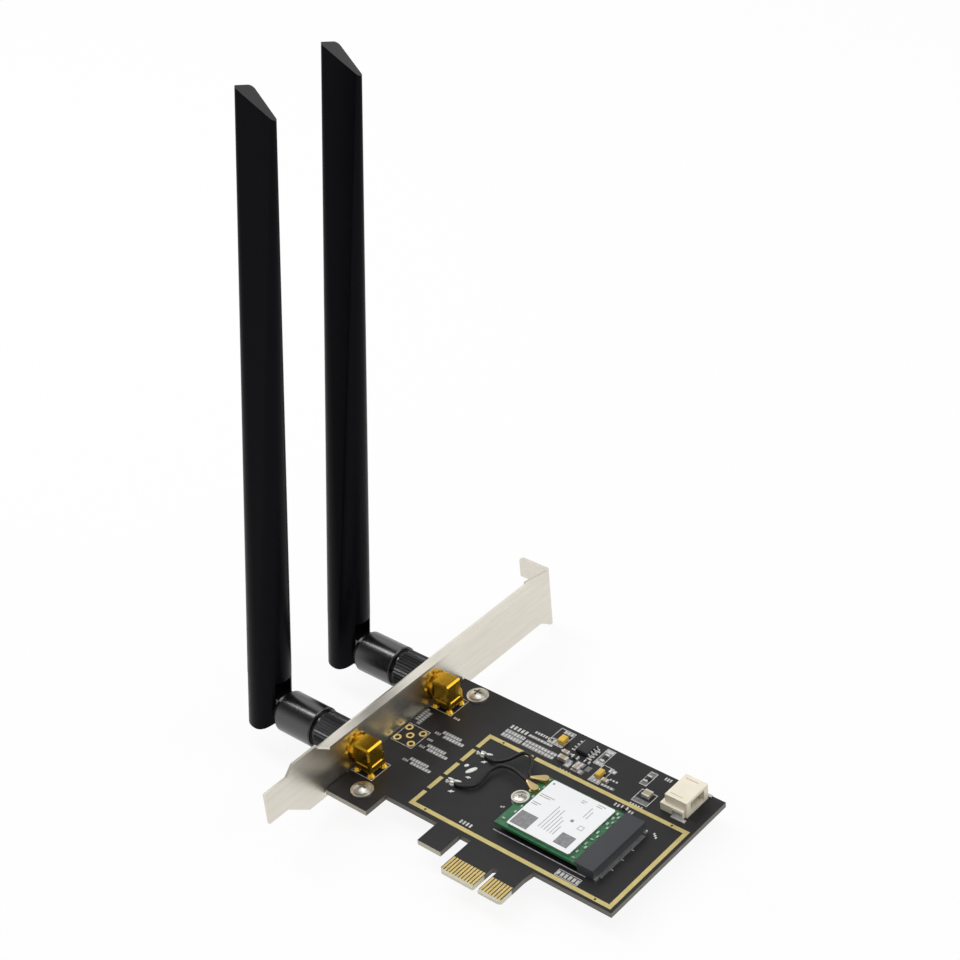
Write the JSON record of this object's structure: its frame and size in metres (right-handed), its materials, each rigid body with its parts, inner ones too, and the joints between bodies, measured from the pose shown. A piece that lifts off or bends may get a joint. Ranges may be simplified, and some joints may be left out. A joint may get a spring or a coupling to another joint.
{
  "type": "wifi card",
  "caption": "Plug-in computer wireless card: black board with edge connector, shielded radio module, slot bracket and folding, swivelling rod antennas.",
  "frame": {"origin": "centre line of the edge connector's key notch, at the level of the board's lower edge and on its component face", "axes": "+X along the board away from the bracket, +Y up the bracket to its screw flange, +Z out of the component face, up as the card lies"},
  "size_m": [0.131, 0.12, 0.1887],
  "materials": {
    "board_black": "matte black solder mask over glass-fibre laminate",
    "contact_gold": "gold-plated copper",
    "frame_gold": "gold-plated bare copper, matte",
    "bracket_steel": "nickel-plated steel, satin with a soft reflection",
    "screw_steel": "nickel-plated steel",
    "jack_gold": "polished gold plating over brass",
    "insulator_white": "white fluoropolymer",
    "socket_black": "dark grey moulding, matte",
    "tinned": "tin-plated metal and solder",
    "module_green": "green solder mask",
    "shield_steel": "tin-plated sheet",
    "label_white": "white label, satin",
    "lead_black": "black cable jacket",
    "header_cream": "cream nylon",
    "tantalum_yellow": "yellow moulded body",
    "ceramic_tan": "tan ceramic",
    "nut_black": "black-finished brass, knurled",
    "antenna_black": "satin black plastic",
    "pin_steel": "plain steel"
  },
  "bodies": {
    "card": {"board": "board_black", "edge_contacts": "contact_gold", "copper_frame": "frame_gold", "ring_pads": "contact_gold", "bracket": "bracket_steel", "bracket_tabs": "bracket_steel", "bracket_screws": "screw_steel", "jack_low_body": "jack_gold", "jack_high_body": "jack_gold", "jack_insulators": "insulator_white", "jack_contacts": "contact_gold", "jack_washers": "jack_gold", "jack_nuts": "jack_gold", "socket_housing": "socket_black", "socket_contacts": "tinned", "module_standoff": "screw_steel", "module_screw": "screw_steel", "module_board": "module_green", "module_shield": "shield_steel", "module_label": "label_white", "module_coax_sockets": "contact_gold", "coax_plug_high": "contact_gold", "coax_plug_low": "contact_gold", "lead_high": "lead_black", "lead_low": "lead_black", "lead_joints": "tinned", "header_housing": "header_cream", "header_pins": "tinned", "header_tabs": "tinned", "driver_chip": "socket_black", "driver_chip_leads": "tinned", "tantalum_capacitors": "tantalum_yellow", "chip_resistors": "socket_black", "chip_capacitors": "ceramic_tan", "chip_terminals": "tinned", "plug_bodies": "jack_gold", "plug_insulators": "insulator_white", "plug_contacts": "contact_gold"},
    "coupling_low": {"coupling_nut_low": "nut_black"},
    "elbow_low": {"elbow_low": "antenna_black"},
    "rod_low": {"rod_low": "antenna_black", "hinge_pin_low": "pin_steel", "radiator_low": "module_green"},
    "coupling_high": {"coupling_nut_high": "nut_black"},
    "elbow_high": {"elbow_high": "antenna_black"},
    "rod_high": {"rod_high": "antenna_black", "hinge_pin_high": "pin_steel", "radiator_high": "module_green"}
  },
  "joints": [
    {"name": "coupling_low_spin", "type": "hinge", "parent": "card", "child": "coupling_low", "pos_m": [-0.066, 0.0054, 0.00575], "axis": [-1, 0, 0], "continuous": true},
    {"name": "antenna_low_swivel", "type": "hinge", "parent": "card", "child": "elbow_low", "pos_m": [-0.078, 0.0054, 0.00575], "axis": [1, 0, 0], "range_deg": [-2.5, 190]},
    {"name": "antenna_low_fold", "type": "hinge", "parent": "elbow_low", "child": "rod_low", "pos_m": [-0.0913, 0.0054, 0.00575], "axis": [0, -0.9874, 0.1582], "range_deg": [0, 90]},
    {"name": "coupling_high_spin", "type": "hinge", "parent": "card", "child": "coupling_high", "pos_m": [-0.066, 0.0381, 0.00575], "axis": [-1, 0, 0], "continuous": true},
    {"name": "antenna_high_swivel", "type": "hinge", "parent": "card", "child": "elbow_high", "pos_m": [-0.078, 0.0381, 0.00575], "axis": [1, 0, 0], "range_deg": [-190, 2.5]},
    {"name": "antenna_high_fold", "type": "hinge", "parent": "elbow_high", "child": "rod_high", "pos_m": [-0.0913, 0.0381, 0.00575], "axis": [0, -0.989, 0.1478], "range_deg": [0, 90]}
  ]
}
